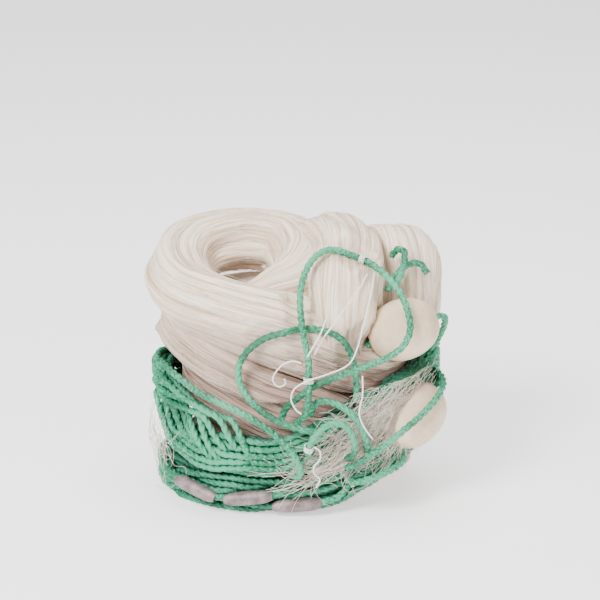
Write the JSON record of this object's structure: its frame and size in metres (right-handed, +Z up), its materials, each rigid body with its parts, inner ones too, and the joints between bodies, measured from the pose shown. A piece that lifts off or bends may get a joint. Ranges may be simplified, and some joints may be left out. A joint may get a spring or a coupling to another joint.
{
  "type": "bundled gill net",
  "caption": "Gill net of fine filament webbing, gathered into a wound hank inside hanks of twisted float line and lead line, with floats, sinkers and twine ties",
  "frame": {"origin": "on the floor, under the middle of the bundle's bounding box", "axes": "+Z up; -Y is the front, the side with the two loose loops of rope; +X is the viewer's right"},
  "size_m": [0.268, 0.2258, 0.2402],
  "materials": {
    "netting": "fine off-white filament netting, gathered",
    "rope": "green three-strand twisted polypropylene rope",
    "twine": "white twine",
    "float": "cream closed-cell foam, smooth and dull",
    "sinker": "dull grey lead"
  },
  "bodies": {
    "root": {"netting": "netting", "float_line_hank": "rope", "lead_line_hank": "rope", "crossing_strand": "rope", "float_line_back": "rope", "float_line_side": "rope", "float_line_upper": "rope", "lead_line_back": "rope", "lead_line_front": "rope", "lead_line_low": "rope", "loop_tall": "rope", "loop_wide": "rope", "rope_end_short": "rope", "rope_end_long": "rope", "short_bight": "rope", "small_arc": "rope", "strand_over_float": "rope", "strand_under_float": "rope", "tie_foot": "twine", "tie_middle": "twine", "tie_top": "twine", "twine_curl": "twine", "twine_foot": "twine", "twine_long": "twine", "twine_side": "twine", "twine_spur": "twine", "twine_tight": "twine", "float_upper": "float", "float_side": "float", "float_back": "float", "sinker_left": "sinker", "sinker_middle": "sinker", "sinker_low": "sinker", "sinker_back_left": "sinker", "sinker_back_right": "sinker"}
  },
  "joints": []
}
